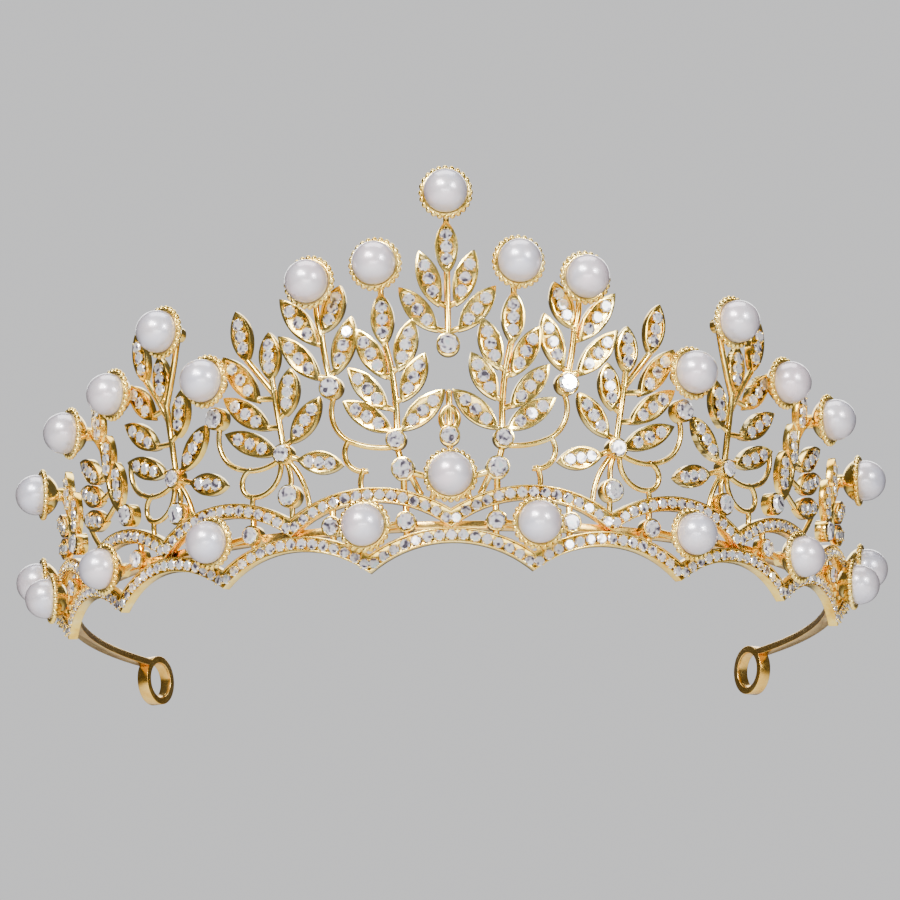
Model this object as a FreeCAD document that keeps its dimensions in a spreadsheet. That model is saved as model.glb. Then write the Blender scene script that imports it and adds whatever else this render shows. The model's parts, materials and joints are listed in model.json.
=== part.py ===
"""Bridal tiara: a cast openwork band set with round stones and pearls, carried by a flat wire hoop.

Millimetres, +Z up. The band follows half an ellipse round the front of the head and leans outward
a little. Every ornament is placed on it by two numbers: the distance along the band from the
middle of the front, and the height above the band's lowest points.
"""
import FreeCAD, Part
import math
import os

import Sketcher
from FreeCAD import Matrix, Placement, Rotation, Vector

os.makedirs("parts", exist_ok=True)
doc = FreeCAD.newDocument("BridalTiara")

# ---------------------------------------------------------------------------------------------
# Driving sizes
# ---------------------------------------------------------------------------------------------

DRIVING_SIZES = [
    ("plan_half_width", 75.2, "half the band's width, ear to ear"),
    ("plan_half_depth", 88.0, "half the depth of the ellipse that the band follows"),
    ("flare_angle", 3.0, "how far the band leans outward, degrees"),
    ("scallop_pitch", 28.4, "distance along the band between two points of its lower edge"),
    ("arch_rise", 4.9, "rise of each scallop above its points"),
    ("border_width", 2.6, "width of the stone-set borders"),
    ("border_depth", 1.8, "border, front to back"),
    ("border_rim", 0.32, "plain rim on each side of a border's channel"),
    ("channel_depth", 0.55, "depth of the borders' channel"),
    ("casting_depth", 1.3, "thickness of the leaves, front to back"),
    ("wire_diameter", 1.16, "stems and scrolls"),
    ("leaf_width", 4.1, "widest part of a leaf"),
    ("leaf_rim", 0.42, "raised rim round a leaf"),
    ("leaf_field_depth", 0.5, "depth of the leaf's sunk field"),
    ("leaf_short", 8.6, "leaf length, first size"),
    ("leaf_medium", 9.6, "leaf length, second size"),
    ("leaf_long", 10.6, "leaf length, third size"),
    ("leaf_longest", 11.7, "leaf length, fourth size"),
    ("stone_pavilion", 0.5, "stone, height below its girdle"),
    ("stone_girdle", 0.12, "stone, height of its girdle"),
    ("stone_crown", 0.36, "stone, height above its girdle"),
    ("leaf_stone_diameter", 2.15, "middle stone of a leaf"),
    ("border_stone_diameter", 1.86, "stones of the borders"),
    ("small_accent_diameter", 2.9, "small single stones"),
    ("large_accent_diameter", 3.4, "large single stones"),
    ("collet_wall", 0.36, "metal round a single stone"),
    ("pad_depth", 1.7, "thickness of the pads and seats, front to back"),
    ("collet_height", 1.25, "single stone's seat, above the casting's middle"),
    ("pearl_diameter", 7.5, "pearls of the band"),
    ("crown_pearl_diameter", 7.7, "pearls of the crown and the middle"),
    ("pearl_clearance", 0.05, "gap between a pearl and its cup"),
    ("cup_wall", 0.5, "wall of a pearl cup"),
    ("cup_rim_wire", 0.95, "thickness of the cup's rim"),
    ("cup_reach", 2.9, "cup, from its flat back to its rim"),
    ("cup_foot_radius", 1.3, "flat back of a pearl cup"),
    ("peg_diameter", 0.9, "peg that holds a pearl"),
    ("peg_reach", 3.2, "length of the peg inside the pearl"),
    ("peg_clearance", 0.05, "gap round the peg"),
    ("hoop_width", 2.5, "flat hoop wire, across its width"),
    ("hoop_thickness", 1.4, "flat hoop wire, top to bottom"),
    ("hoop_height", 8.2, "middle of the hoop wire above the band's points"),
    ("hoop_length_side", 178.5, "distance along the hoop from the front to a ribbon loop"),
    ("loop_diameter", 10.0, "ribbon loop, outside"),
    ("loop_wall", 1.4, "ribbon loop's wall"),
]

sheet = doc.addObject("Spreadsheet::Sheet", "Sizes")
for row, (alias, value, meaning) in enumerate(DRIVING_SIZES, start=1):
    sheet.set(f"A{row}", alias)
    sheet.set(f"B{row}", str(value))
    sheet.set(f"C{row}", meaning)
    sheet.setAlias(f"B{row}", alias)
doc.recompute()
size = {alias: float(sheet.get(alias)) for alias, _, _ in DRIVING_SIZES}

PITCH = size["scallop_pitch"]
HALF_CASTING = size["casting_depth"] / 2
HALF_PAD = size["pad_depth"] / 2
WIRE_RADIUS = size["wire_diameter"] / 2
EYE_CENTRES = [(index + 0.5) * PITCH for index in range(-4, 4)]
BAND_HALF_LENGTH = 4 * PITCH
STONES_PER_ARCH = 15
KNOT_SWELL = 1.06
STRAIGHT = 0.05
LEAF_LENGTHS = ("leaf_short", "leaf_medium", "leaf_long", "leaf_longest")

# ---------------------------------------------------------------------------------------------
# The band's surface
# ---------------------------------------------------------------------------------------------

# The plan is an ellipse, whichever of its axes is the longer; the band starts at its front.
DEEPER = size["plan_half_depth"] > size["plan_half_width"]
if DEEPER:
    PLAN_CURVE = Part.Ellipse(Vector(0, -size["plan_half_depth"], 0),
                              Vector(size["plan_half_width"], 0, 0), Vector())
else:
    PLAN_CURVE = Part.Ellipse(Vector(size["plan_half_width"], 0, 0),
                              Vector(0, size["plan_half_depth"], 0), Vector())
FRONT_PARAMETER = 0.0 if DEEPER else -math.pi / 2
FLARE = math.radians(size["flare_angle"])


def band_placement(along, height, outward=0.0, turn=0.0, flare=FLARE):
    """Placement on the band: X runs along it, Y up its slope and Z outward, turned about Z."""
    parameter = PLAN_CURVE.parameterAtDistance(along, FRONT_PARAMETER)
    tangent = PLAN_CURVE.tangent(parameter)[0]
    level_normal = tangent.cross(Vector(0, 0, 1))
    up = Vector(0, 0, math.cos(flare)) + level_normal * math.sin(flare)
    normal = level_normal * math.cos(flare) - Vector(0, 0, math.sin(flare))
    point = (PLAN_CURVE.value(parameter) + level_normal * (height * math.tan(flare))
             + Vector(0, 0, height) + normal * outward)
    matrix = Matrix(tangent.x, up.x, normal.x, point.x,
                    tangent.y, up.y, normal.y, point.y,
                    tangent.z, up.z, normal.z, point.z)
    return Placement(matrix) * Placement(Vector(), Rotation(Vector(0, 0, 1), turn))


def band_point(along, height, outward=0.0):
    """Point of the band's surface, or in front of it."""
    return band_placement(along, height, outward).Base


def placed(shape, placement):
    """Copy of a shape, moved by a placement."""
    copy = shape.copy()
    copy.Placement = placement.multiply(copy.Placement)
    return copy


# ---------------------------------------------------------------------------------------------
# Patterns that are made once and used many times
# ---------------------------------------------------------------------------------------------


def origin_plane(body, role):
    """One of a body's own origin planes."""
    return next(item for item in body.Origin.OriginFeatures if item.Role == role)


def new_sketch(body, name, role="XY_Plane"):
    """Sketch on one of a body's own origin planes."""
    sketch = body.newObject("Sketcher::SketchObject", name)
    sketch.AttachmentSupport = [(origin_plane(body, role), "")]
    sketch.MapMode = "FlatFace"
    return sketch


def bind(target, bindings):
    """Binds properties of an object to expressions on the sheet."""
    for path, expression in bindings.items():
        target.setExpression(path, expression)


def lens_outline(sketch, prefix, length, width, start, length_expression, radius_expression,
                 start_expression):
    """Pointed oval along the sketch's X axis, from two arcs that meet at its tips."""
    radius = (length ** 2 + width ** 2) / (4 * width)
    half_angle = math.asin(length / 2 / radius)
    middle = start + length / 2
    for side in (1, -1):
        centre = Vector(middle, side * (width / 2 - radius), 0)
        circle = Part.Circle(centre, Vector(0, 0, 1), radius)
        axis = side * math.pi / 2
        sketch.addGeometry(Part.ArcOfCircle(circle, axis - half_angle, axis + half_angle), False)
    constrain = sketch.addConstraint
    constraint = Sketcher.Constraint
    constrain(constraint("Coincident", 0, 1, 1, 2))
    constrain(constraint("Coincident", 0, 2, 1, 1))
    constrain(constraint("PointOnObject", 0, 1, -1))
    constrain(constraint("Equal", 0, 1))
    constrain(constraint("DistanceX", 0, 2, 0, 1, length))
    sketch.renameConstraint(sketch.ConstraintCount - 1, f"{prefix}_length")
    constrain(constraint("Radius", 0, radius))
    sketch.renameConstraint(sketch.ConstraintCount - 1, f"{prefix}_radius")
    if start > 0:
        constrain(constraint("PointOnObject", 0, 2, -1))
        constrain(constraint("DistanceX", -1, 1, 0, 2, start))
        sketch.renameConstraint(sketch.ConstraintCount - 1, f"{prefix}_start")
        bind(sketch, {f"Constraints.{prefix}_start": start_expression})
    else:
        constrain(constraint("Coincident", 0, 2, -1, 1))
    bind(sketch, {f"Constraints.{prefix}_length": length_expression,
                  f"Constraints.{prefix}_radius": radius_expression})


def leaf_pattern(alias):
    """Leaf of one length: a pointed plate along X with a sunk field inside a plain rim."""
    body = doc.addObject("PartDesign::Body", f"{alias}_pattern")
    length = size[alias]
    width = size["leaf_width"]
    rim = size["leaf_rim"]
    outline = new_sketch(body, f"{alias}_outline")
    lens_outline(outline, "leaf", length, width, 0.0, f"Sizes.{alias}",
                 f"(Sizes.{alias}^2 + Sizes.leaf_width^2) / (4 * Sizes.leaf_width)", None)
    plate = body.newObject("PartDesign::Pad", f"{alias}_plate")
    plate.Profile = outline
    plate.SideType = "Symmetric"
    bind(plate, {"Length": "Sizes.casting_depth"})
    doc.recompute()

    # The field's arcs keep the rim's width from the outline's arcs and share their centres.
    field = new_sketch(body, f"{alias}_field")
    inset = f"Sizes.leaf_rim * Sizes.{alias} / Sizes.leaf_width"
    field_length = f"(Sizes.{alias} - 2 * {inset})"
    field_width = "(Sizes.leaf_width - 2 * Sizes.leaf_rim)"
    start = rim * length / width
    lens_outline(field, "field", length - 2 * start, width - 2 * rim, start, field_length,
                 f"({field_length}^2 + {field_width}^2) / (4 * {field_width})", inset)
    field.AttachmentOffset = Placement(Vector(0, 0, size["casting_depth"] / 2), Rotation())
    bind(field, {"AttachmentOffset.Base.z": "Sizes.casting_depth / 2"})
    sunk = body.newObject("PartDesign::Pocket", f"{alias}_sunk_field")
    sunk.Profile = field
    bind(sunk, {"Length": "Sizes.leaf_field_depth"})
    doc.recompute()
    return body


def polyline_revolution(name, points, bindings):
    """Body turned about Z from a closed outline in the XZ plane of (radius, height) corners."""
    body = doc.addObject("PartDesign::Body", name)
    sketch = new_sketch(body, f"{name}_profile", "XZ_Plane")
    count = len(points)
    for index, (radius, height) in enumerate(points):
        end_radius, end_height = points[(index + 1) % count]
        sketch.addGeometry(Part.LineSegment(Vector(radius, height, 0),
                                            Vector(end_radius, end_height, 0)), False)
    for index in range(count):
        sketch.addConstraint(Sketcher.Constraint("Coincident", index, 2, (index + 1) % count, 1))
    for index, (radius, height) in enumerate(points):
        for kind, value, formula in zip(("DistanceX", "DistanceY"), (radius, height), bindings[index]):
            if formula is None:
                on_axis = "Vertical" if kind == "DistanceX" else "Horizontal"
                axis = -2 if on_axis == "Vertical" else -1
                sketch.addConstraint(Sketcher.Constraint("PointOnObject", index, 1, axis))
                continue
            sketch.addConstraint(Sketcher.Constraint(kind, -1, 1, index, 1, value))
            label = f"{kind}_{index}"
            sketch.renameConstraint(sketch.ConstraintCount - 1, label)
            bind(sketch, {f"Constraints.{label}": formula})
    turned = body.newObject("PartDesign::Revolution", f"{name}_turned")
    turned.Profile = sketch
    turned.ReferenceAxis = (sketch, ["V_Axis"])
    turned.Angle = 360
    doc.recompute()
    return body


def stone_pattern(alias):
    """Round stone standing on its small base at Z = 0, girdle and table above it."""
    radius = size[alias] / 2
    pavilion = size["stone_pavilion"]
    girdle = pavilion + size["stone_girdle"]
    top = girdle + size["stone_crown"]
    base, table = 0.45, 0.6
    half = f"Sizes.{alias} / 2"
    girdle_top = "Sizes.stone_pavilion + Sizes.stone_girdle"
    points = [(0, 0), (base * radius, 0), (radius, pavilion), (radius, girdle), (table * radius, top),
              (0, top)]
    bindings = [(None, None), (f"{base} * {half}", None), (half, "Sizes.stone_pavilion"),
                (half, girdle_top), (f"{table} * {half}", f"{girdle_top} + Sizes.stone_crown"),
                (None, f"{girdle_top} + Sizes.stone_crown")]
    return polyline_revolution(f"{alias}_pattern", points, bindings)


leaf_shapes = {alias: leaf_pattern(alias).Shape for alias in LEAF_LENGTHS}
stone_shapes = {alias: stone_pattern(alias).Shape for alias in (
    "leaf_stone_diameter", "border_stone_diameter", "small_accent_diameter", "large_accent_diameter")}

# ---------------------------------------------------------------------------------------------
# Building blocks on the band
# ---------------------------------------------------------------------------------------------


def fused(shapes):
    """One shape from pieces that meet, joined one by one."""
    joined = shapes[0]
    for shape in shapes[1:]:
        joined = joined.fuse(shape)
    return joined


def left_copy(shape):
    """The left half's copy of a shape of the right half."""
    return shape.mirror(Vector(0, 0, 0), Vector(1, 0, 0))


def rod(path, radius):
    """Round rod along one edge."""
    start = path.valueAt(path.FirstParameter)
    ring = Part.Wire([Part.Circle(start, path.tangentAt(path.FirstParameter), radius).toShape()])
    return Part.Wire([path]).makePipeShell([ring], True, False)


def wire_pieces(points, radius=WIRE_RADIUS):
    """Round wire on the band through (along, height) points: an arc over every three of them."""
    spots = [band_point(*point) for point in points]
    knots = spots[::2] if len(spots) % 2 else spots
    pieces = [Part.makeSphere(radius * KNOT_SWELL, spot) for spot in knots]
    for first in range(0, len(spots) - 1, 2):
        stretch = spots[first:first + 3]
        if len(stretch) == 3 and stretch[1].distanceToLine(stretch[0], stretch[2] - stretch[0]) > STRAIGHT:
            pieces.append(rod(Part.Arc(*stretch).toShape(), radius))
        else:
            pieces.append(rod(Part.makeLine(stretch[0], stretch[-1]), radius))
    return pieces


def disc(along, height, radius, low, high):
    """Round plate square to the band, between two distances in front of its surface."""
    plate = Part.makeCylinder(radius, high - low, Vector(0, 0, low))
    return placed(plate, band_placement(along, height))


class Casting:
    """One openwork casting of the band: leaves, wires, stone seats and pearl pads in one solid."""

    def __init__(self):
        self.pieces = []
        self.bores = []
        self.leaf_stones = []
        self.accent_stones = []

    def leaf(self, alias, tip, lean):
        """Leaf of one length with its tip at a point, leaning outward by so many degrees."""
        length = size[alias]
        lean_angle = math.radians(lean)
        run, rise = math.sin(lean_angle), math.cos(lean_angle)
        middle = (tip[0] - run * length / 2, tip[1] - rise * length / 2)
        centre = band_placement(*middle, turn=90 - lean)
        root = centre * Placement(Vector(-length / 2, 0, 0), Rotation())
        self.pieces.append(placed(leaf_shapes[alias], root))
        floor = HALF_CASTING - size["leaf_field_depth"]
        for share in (0.27, 0.5, 0.73):
            spot = root * Placement(Vector(share * length, 0, floor), Rotation())
            self.leaf_stones.append((spot, "leaf_stone_diameter"))
        return tip[0] - run * length, tip[1] - rise * length

    def petiole(self, base, towards, lean, reach=1.1):
        """Short wire from a stem to a leaf, running on a little way into its foot."""
        lean_angle = math.radians(lean)
        inside = (base[0] + reach * math.sin(lean_angle), base[1] + reach * math.cos(lean_angle))
        self.wire([towards, inside], radius=WIRE_RADIUS * 0.9)

    def wire(self, points, radius=WIRE_RADIUS):
        """Wire through (along, height) points."""
        self.pieces.extend(wire_pieces(points, radius))

    def accent(self, along, height, alias):
        """Seat with a bore for one single stone."""
        radius = size[alias] / 2
        sunk = size["collet_height"] - size["leaf_field_depth"]
        self.pieces.append(disc(along, height, radius + size["collet_wall"], -HALF_PAD,
                                size["collet_height"]))
        self.bores.append(disc(along, height, radius + size["peg_clearance"], sunk,
                               size["collet_height"] + 1))
        seat = band_placement(along, height, outward=sunk)
        self.accent_stones.append((seat, alias))

    def pad(self, along, height):
        """Flat pad that a pearl cup is brazed to."""
        self.pieces.append(disc(along, height, size["cup_foot_radius"], -HALF_PAD, HALF_PAD))

    def solid(self, neighbours=()):
        """The finished casting, cut back where it meets castings that are already made."""
        body = fused(self.pieces)
        if self.bores:
            body = body.cut(self.bores)
        for neighbour in neighbours:
            if body.BoundBox.intersect(neighbour.BoundBox):
                body = body.cut(neighbour)
        return largest_solid(body)


def largest_solid(shape):
    """The main solid of a shape, without the crumbs that a cut leaves."""
    return max(shape.Solids, key=lambda solid: solid.Volume)


# ---------------------------------------------------------------------------------------------
# The sub-parts
# ---------------------------------------------------------------------------------------------

nodes = {}


def add_shape(name, shape):
    """Sub-part with a shape of its own."""
    feature = doc.addObject("Part::Feature", name)
    feature.Label = name
    feature.Shape = shape
    nodes[name] = feature
    return feature


def scallop_edge(distance):
    """Height of a scallop's lower edge, at a distance along the band from its top."""
    half = PITCH / 2
    rise = size["arch_rise"]
    radius = (half ** 2 + rise ** 2) / (2 * rise)
    return math.sqrt(radius ** 2 - distance ** 2) - (radius - rise)


def scallop_slope(distance):
    """Cosine of a scallop's slope, at a distance along the band from its top."""
    half = PITCH / 2
    rise = size["arch_rise"]
    radius = (half ** 2 + rise ** 2) / (2 * rise)
    return math.sqrt(radius ** 2 - distance ** 2) / radius


UPPER_LIFT = size["arch_rise"] + size["border_width"]


def border_section(along, distance, lift):
    """Channel section of a border, square to the band: a U that opens outward."""
    height = size["border_width"] / scallop_slope(distance)
    rim = size["border_rim"] / scallop_slope(distance)
    half = size["border_depth"] / 2
    floor = half - size["channel_depth"]
    corners = [(0, -half), (height, -half), (height, half), (height - rim, half),
               (height - rim, floor), (rim, floor), (rim, half), (0, half)]
    bottom = lift + scallop_edge(distance)
    placement = band_placement(along, bottom)
    points = [placement.multVec(Vector(0, up, out)) for up, out in corners]
    return Part.makePolygon(points + points[:1])


def border_arch(top, start, end, lift, steps=9):
    """Stretch of a border under one arch whose top is at a given distance along the band."""
    alongs = [start + (end - start) * step / (steps - 1) for step in range(steps)]
    sections = [border_section(along, along - top, lift) for along in alongs]
    return Part.makeLoft(sections, True, False)


def border_stones(top, start, end, lift):
    """Places of the stones along one arch of a border."""
    half = PITCH / 2
    rise = size["arch_rise"]
    radius = (half ** 2 + rise ** 2) / (2 * rise)
    half_angle = math.asin(half / radius)
    step = 2 * half_angle / STONES_PER_ARCH
    middle = radius + size["border_width"] / 2
    spots = []
    for index in range(STONES_PER_ARCH):
        angle = -half_angle + (index + 0.5) * step
        along = top + radius * math.sin(angle)
        if not start < along < end:
            continue
        height = lift + middle * math.cos(angle) - (radius - rise)
        spots.append(band_placement(along, height, size["border_depth"] / 2 - size["channel_depth"]))
    return spots


lower_tops = [index * PITCH for index in range(-4, 5)]
lower_spans = [(top, max(top - PITCH / 2, -BAND_HALF_LENGTH), min(top + PITCH / 2, BAND_HALF_LENGTH))
               for top in lower_tops]
upper_spans = [(eye, eye - PITCH / 2, eye + PITCH / 2) for eye in EYE_CENTRES]
lower_border = fused([border_arch(*span, 0.0) for span in lower_spans])
upper_border = fused([border_arch(*span, UPPER_LIFT) for span in upper_spans])
upper_border = upper_border.cut(lower_border)
add_shape("lower_border", largest_solid(lower_border))
add_shape("upper_border", largest_solid(upper_border))

# Every eye of the band holds a pearl between two single stones on posts.
EYE_PEARL_HEIGHT = 7.85
POST_OFFSET = 6.5
POST_STONE_HEIGHT = 8.6
right_eyes = []
right_single_stones = []
for eye in EYE_CENTRES[4:]:
    frame = Casting()
    for side in (-1, 1):
        along = eye + side * POST_OFFSET
        foot = scallop_edge(PITCH / 2 - POST_OFFSET) + size["border_width"] / 2
        head = UPPER_LIFT + scallop_edge(POST_OFFSET) + size["border_width"] / 2
        frame.wire([(along, foot), (along, head)])
        frame.wire([(along, POST_STONE_HEIGHT), (eye, EYE_PEARL_HEIGHT)])
        frame.accent(along, POST_STONE_HEIGHT, "small_accent_diameter")
    frame.pad(eye, EYE_PEARL_HEIGHT)
    right_single_stones += frame.accent_stones
    right_eyes.append(frame.solid([lower_border, upper_border]))
add_shape("eye_frames", Part.makeCompound([left_copy(eye) for eye in right_eyes] + right_eyes))


class Spray:
    """A spray of leaves: its stems, leaves, single stones and the pads of the pearls it carries."""

    def __init__(self, stems, leaves, accents=(), pads=()):
        self.stems = stems
        self.leaves = leaves
        self.accents = accents
        self.pads = pads

    def stem_point(self, spot):
        """Point of the stems nearest to a leaf's foot."""
        ends = [(start, end) for stem in self.stems for start, end in zip(stem, stem[1:])]
        best = None
        for (start_along, start_height), (end_along, end_height) in ends:
            run, rise = end_along - start_along, end_height - start_height
            share = ((spot[0] - start_along) * run + (spot[1] - start_height) * rise)
            share = min(max(share / (run ** 2 + rise ** 2), 0.0), 1.0)
            near = (start_along + share * run, start_height + share * rise)
            distance = math.dist(near, spot)
            if best is None or distance < best[0]:
                best = (distance, near)
        return best[1]

    def casting(self):
        """The spray's casting."""
        casting = Casting()
        for alias, tip, lean in self.leaves:
            foot = casting.leaf(alias, tip, lean)
            casting.petiole(foot, self.stem_point(foot), lean)
        for stem in self.stems:
            casting.wire(stem)
        for along, height, alias in self.accents:
            casting.accent(along, height, alias)
        for along, height in self.pads:
            casting.pad(along, height)
        return casting


SHORT, MEDIUM, LONG, LONGEST = LEAF_LENGTHS
SMALL, LARGE = "small_accent_diameter", "large_accent_diameter"

# Each leaf is its length, its tip (along, height) and its lean from upright, outward positive.
CENTRE_SPRAY = Spray(
    stems=[[(0, 39.6), (0, 46), (0, 53)], [(0, 61), (0, 66)]],
    leaves=[(MEDIUM, (0, 61.8), 0), (LONG, (4.7, 56.5), 18), (LONG, (-4.7, 56.5), -18),
            (LONG, (8.3, 50.1), 39), (LONG, (-8.3, 50.1), -39)],
    accents=[(0, 39.6, LARGE)], pads=[(0, 66)])

SIDE_SPRAYS = {
    1: Spray(
        stems=[[(9.1, 23.1), (9.2, 31.5), (10.7, 40.2)], [(11.2, 48.6), (11.4, 53.7)]],
        leaves=[(MEDIUM, (11.2, 49.3), 2), (MEDIUM, (5.8, 44.4), -16), (LONG, (15.7, 43.2), 29),
                (MEDIUM, (3.7, 38.3), -27), (LONG, (17.3, 36.4), 41), (LONG, (0.5, 31.7), -48),
                (LONG, (18.4, 30.5), 56)],
        accents=[(9.1, 23.1, SMALL)], pads=[(11.4, 53.7)]),
    2: Spray(
        stems=[[(20.2, 33.1), (21.2, 38), (21.8, 42.6)], [(21.8, 42.6), (22.6, 47), (22.4, 51.5)]],
        leaves=[(LONGEST, (29.3, 50), 37), (SHORT, (18, 51.2), -21), (LONG, (16.2, 45.5), -18),
                (LONGEST, (29.8, 43.4), 41)],
        accents=[(20.2, 33.1, LARGE)], pads=[(22.4, 51.5)]),
    3: Spray(
        stems=[[(29.4, 22.3), (30.3, 28.5), (31.5, 36.3)], [(31.2, 33.5), (33.6, 36.6), (36.2, 40)],
               [(41, 40.8), (42.4, 36.7)]],
        leaves=[(MEDIUM, (38, 49.1), 11), (SHORT, (31.5, 44.4), -1), (SHORT, (27.6, 37.5), -8),
                (LONGEST, (41, 41.3), 37), (LONGEST, (41.3, 33.9), 53), (MEDIUM, (22.2, 31.7), -37),
                (LONGEST, (41.2, 27.4), 65), (SHORT, (18.4, 19.3), -101)],
        accents=[(29.4, 22.3, SMALL)], pads=[(42.4, 36.7)]),
    4: Spray(
        stems=[[(53.4, 21.4), (54.3, 27.6), (55.5, 35.6)], [(55.2, 32.6), (57.6, 36.4), (60.6, 40.4)],
               [(55.3, 35.2), (53.2, 41.5), (51.7, 47.4)], [(65.6, 40.4), (65.7, 38.9)]],
        leaves=[(MEDIUM, (62.8, 49.7), 13), (SHORT, (56.4, 44.4), 2), (SHORT, (50.9, 37.2), -10),
                (LONG, (65.8, 40.8), 43), (LONGEST, (67.3, 33.9), 57), (MEDIUM, (45.4, 29.8), -40),
                (LONGEST, (66.8, 26.8), 69), (SHORT, (41.2, 18.2), -102)],
        accents=[(53.4, 21.4, SMALL)],
        pads=[(51.7, 47.4), (65.7, 38.9)]),
    5: Spray(
        stems=[[(67.3, 17.2), (72.6, 20.2), (75, 25)], [(75, 25), (76.3, 28.6), (77.2, 32.4)],
               [(77, 31.2), (79.6, 33.8), (82.5, 35.5)]],
        leaves=[(SHORT, (78.4, 40.6), 8), (SHORT, (71.4, 27.9), 5), (SHORT, (74, 33.4), -5),
                (LONG, (86.4, 31), 58), (LONG, (86.8, 25.6), 68), (LONG, (86, 20), 77)],
        accents=[(67.3, 17.2, LARGE)], pads=[(82.5, 35.5)]),
    6: Spray(
        stems=[[(90, 16.3), (93.6, 18), (95.8, 21.2)], [(95.8, 21.2), (99.5, 25.8), (103.5, 28.6)]],
        leaves=[(SHORT, (91.3, 26.4), -4), (SHORT, (96.4, 31.5), 2), (MEDIUM, (106.4, 24.3), 64),
                (MEDIUM, (105.8, 18.6), 78)],
        accents=[(90, 16.3, LARGE)], pads=[(103.5, 28.6)]),
}

finished = [lower_border, upper_border]
centre_spray = CENTRE_SPRAY.casting()
shape = centre_spray.solid(finished)
finished.append(shape)
add_shape("centre_spray", shape)
right_leaf_stones = []
for number, spray in SIDE_SPRAYS.items():
    casting = spray.casting()
    shape = casting.solid(finished)
    finished.append(shape)
    add_shape(f"right_spray_{number}", shape)
    add_shape(f"left_spray_{number}", left_copy(shape))
    right_leaf_stones += casting.leaf_stones
    right_single_stones += casting.accent_stones

# The middle's frame carries the large pearl and ties the two halves together.
CENTRE_PEARL_HEIGHT = 16.1
centre = Casting()
centre.pad(0, CENTRE_PEARL_HEIGHT)
centre.accent(0, 23.5, SMALL)
centre.wire([(0, CENTRE_PEARL_HEIGHT), (0, 23.5), (0, 31.2)])
for side in (1, -1):
    centre.accent(side * 8.0, 17.9, LARGE)
    centre.wire([(0, CENTRE_PEARL_HEIGHT), (side * 4.2, 16.6), (side * 8.0, 17.9)])
    centre.wire([(side * 1.2, 15.4), (side * 2.8, 13.6), (side * 3.4, 11.4)])
    centre.wire([(side * 8.0, 17.9), (side * 8.0, 13.2)])
    centre.wire([(side * 8.0, 17.9), (side * 9.0, 22.0)])
    centre.wire([(0, 24.4), (side * 1.4, 26.6), (0, 28.8)])
    centre.wire([(0, 38.9), (side * 2.0, 37.6), (side * 3.9, 37.4)])
    centre.wire([(side * 7.3, 17.9), (side * 5.2, 13.6)])
centre_frame = centre.solid(finished + [left_copy(shape) for shape in finished[2:]] + right_eyes)
add_shape("centre_frame", centre_frame)
finished.append(centre_frame)

# Scrolls under the sprays, and the feet that stand them on the band. Their wire is thinner than
# the stems', and where they cross a spray only the pieces beyond it are kept, without crumbs.
SCROLL_SHARE = 0.85
CRUMB = 1.0
SCROLLS = [
    [(20, 31.2), (20.2, 27.2), (17.6, 23.6), (13.8, 22.2), (10.4, 21.9)],
    [(10.8, 21.9), (11.2, 18.9), (14.2, 18), (17.2, 18.9), (17.6, 23.4)],
    [(15, 18.1), (15.5, 16.6), (15.2, 14.2)],
    [(42.6, 28.8), (42.2, 23.8), (39, 21), (34.6, 20.2), (30.6, 21.4)],
    [(36.4, 20.4), (38.2, 17.6), (36, 15.5), (32.6, 16.2), (30.2, 20.8)],
    [(36, 15.5), (36.2, 14.4), (36, 12.8)],
    [(28.8, 21.2), (26.2, 17.4), (25, 12.6)],
    [(28.4, 14.7), (28.3, 12.6), (28.4, 9.8)],
    [(28.5, 16.2), (28.4, 18.6), (29.1, 20.8)],
    [(66.6, 26.6), (66.2, 22.9), (63, 20.1), (58.6, 19.3), (54.6, 20.5)],
    [(60.4, 19.5), (62.2, 16.7), (60.2, 14.8), (56.6, 15.4), (54.2, 19.9)],
    [(60.2, 14.8), (60.4, 13.8), (60.2, 12.4)],
    [(52.8, 20.3), (50.4, 16.6), (49.4, 12.6)],
    [(52.8, 16.4), (52.7, 18.2), (53.1, 19.9)],
    [(52.6, 14.9), (53.4, 13), (53.6, 11)],
    [(67.3, 16), (67.4, 15), (67.2, 13.4)],
    [(76.4, 27.4), (80.6, 23.6), (83.6, 17.6), (80.4, 14.4), (78, 12.6)],
    [(90, 15.2), (89.6, 14), (90.2, 12.2)],
    [(96, 20.8), (98.6, 17.2), (99.6, 13.6)],
]
scrolls = Casting()
for points in SCROLLS:
    scrolls.wire(points, WIRE_RADIUS * SCROLL_SHARE)
for along, height in ((28.4, 14.7), (42.8, 30.4), (52.6, 14.9)):
    scrolls.accent(along, height, LARGE)
right_single_stones += scrolls.accent_stones
scrollwork = fused(scrolls.pieces).cut(scrolls.bores)
for neighbour in finished + right_eyes:
    scrollwork = scrollwork.cut(neighbour)
scrollwork = Part.makeCompound([solid for solid in scrollwork.Solids if solid.Volume > CRUMB])
add_shape("right_scrollwork", scrollwork)
add_shape("left_scrollwork", left_copy(scrollwork))

# ---------------------------------------------------------------------------------------------
# Pearls and their cups
# ---------------------------------------------------------------------------------------------


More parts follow.
